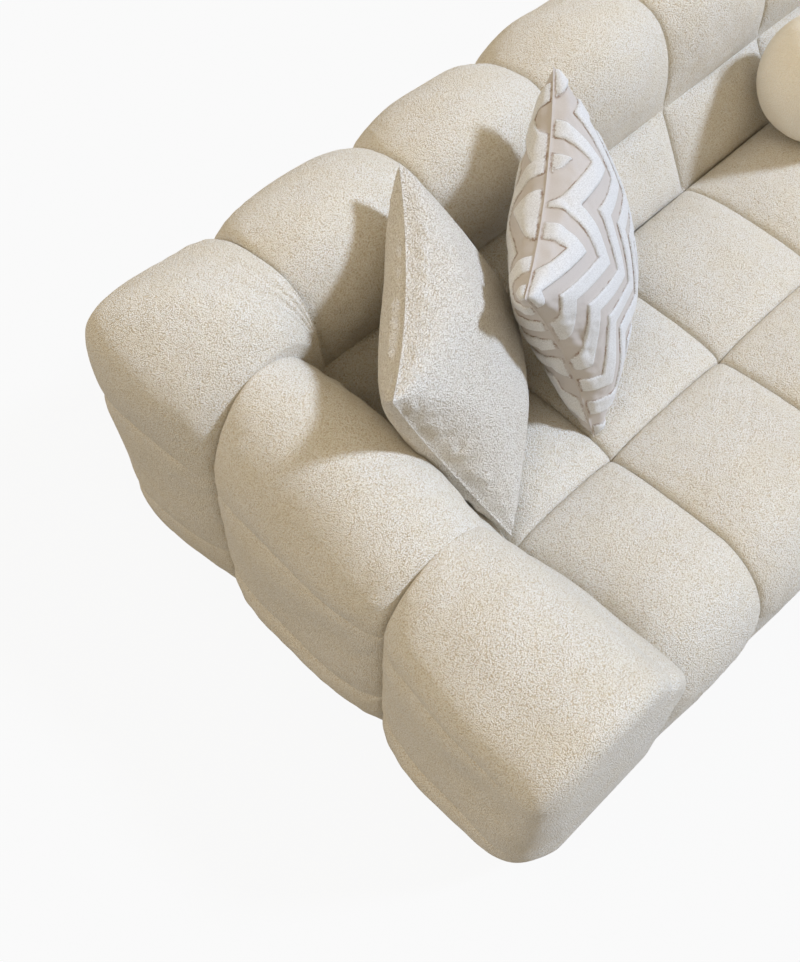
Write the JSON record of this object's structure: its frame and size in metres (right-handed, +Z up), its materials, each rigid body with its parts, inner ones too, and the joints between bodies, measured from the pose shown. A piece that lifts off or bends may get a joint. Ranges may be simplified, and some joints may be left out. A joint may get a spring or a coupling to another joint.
{
  "type": "sectional sofa",
  "caption": "Low sectional sofa whose modules slide apart, with deep-tufted boucle upholstery over timber frames, short feet and loose square and round throw pillows.",
  "frame": {"origin": "on the floor, at the middle of the sofa's box, where the two modules meet", "axes": "+X along the sofa's length towards the right module, +Y to the back, +Z up"},
  "size_m": [2.3748, 1.0566, 0.8149],
  "materials": {
    "cover": "cream boucle",
    "timber": "sawn",
    "webbing": "woven",
    "dust_cloth": "matt",
    "steel": "zinc plated",
    "foot": "matt black",
    "ivory_boucle": "ivory boucle",
    "pattern_pile": "cut pile on a flat ground",
    "tan_boucle": "fine tan boucle"
  },
  "bodies": {
    "left_module": {"left_base_frame": "timber", "left_webbing_deck": "webbing", "left_dust_cover": "dust_cloth", "left_inner_panel": "cover", "left_back_frame": "timber", "left_arm_frame": "timber", "left_corner_post": "timber", "left_back_plate_1": "steel", "left_back_plate_2": "steel", "left_arm_plate_1": "steel", "left_arm_plate_2": "steel", "left_front_inner_foot": "foot", "left_front_outer_foot": "foot", "left_rear_inner_foot": "foot", "left_rear_outer_foot": "foot", "left_back_pad": "cover", "left_arm_pad": "cover", "left_corner_pad": "cover", "left_front_border": "cover", "left_seat_cushion": "cover", "left_connector_socket_1": "steel", "left_connector_socket_2": "steel"},
    "right_module": {"right_base_frame": "timber", "right_webbing_deck": "webbing", "right_dust_cover": "dust_cloth", "right_inner_panel": "cover", "right_back_frame": "timber", "right_arm_frame": "timber", "right_corner_post": "timber", "right_back_plate_1": "steel", "right_back_plate_2": "steel", "right_arm_plate_1": "steel", "right_arm_plate_2": "steel", "right_front_inner_foot": "foot", "right_front_outer_foot": "foot", "right_rear_inner_foot": "foot", "right_rear_outer_foot": "foot", "right_back_pad": "cover", "right_arm_pad": "cover", "right_corner_pad": "cover", "right_front_border": "cover", "right_seat_cushion": "cover", "right_connector_tongue_1": "steel", "right_connector_tongue_2": "steel"},
    "plain_pillow": {"plain_pillow": "ivory_boucle"},
    "patterned_pillow": {"patterned_pillow": "pattern_pile"},
    "ball_pillow": {"ball_pillow": "tan_boucle"}
  },
  "joints": [
    {"name": "right_module_slide", "type": "slide", "parent": "left_module", "child": "right_module", "axis": [1, 0, 0], "range_m": [0, 0.3]},
    {"name": "plain_pillow_lift", "type": "slide", "parent": "left_module", "child": "plain_pillow", "axis": [-0.198, 0.166, 0.966], "range_m": [0, 0.25]},
    {"name": "patterned_pillow_lift", "type": "slide", "parent": "left_module", "child": "patterned_pillow", "axis": [0.087, -0.15, 0.9849], "range_m": [0, 0.25]},
    {"name": "ball_pillow_lift", "type": "slide", "parent": "right_module", "child": "ball_pillow", "axis": [0, -0.174, 0.9848], "range_m": [0, 0.25]}
  ]
}
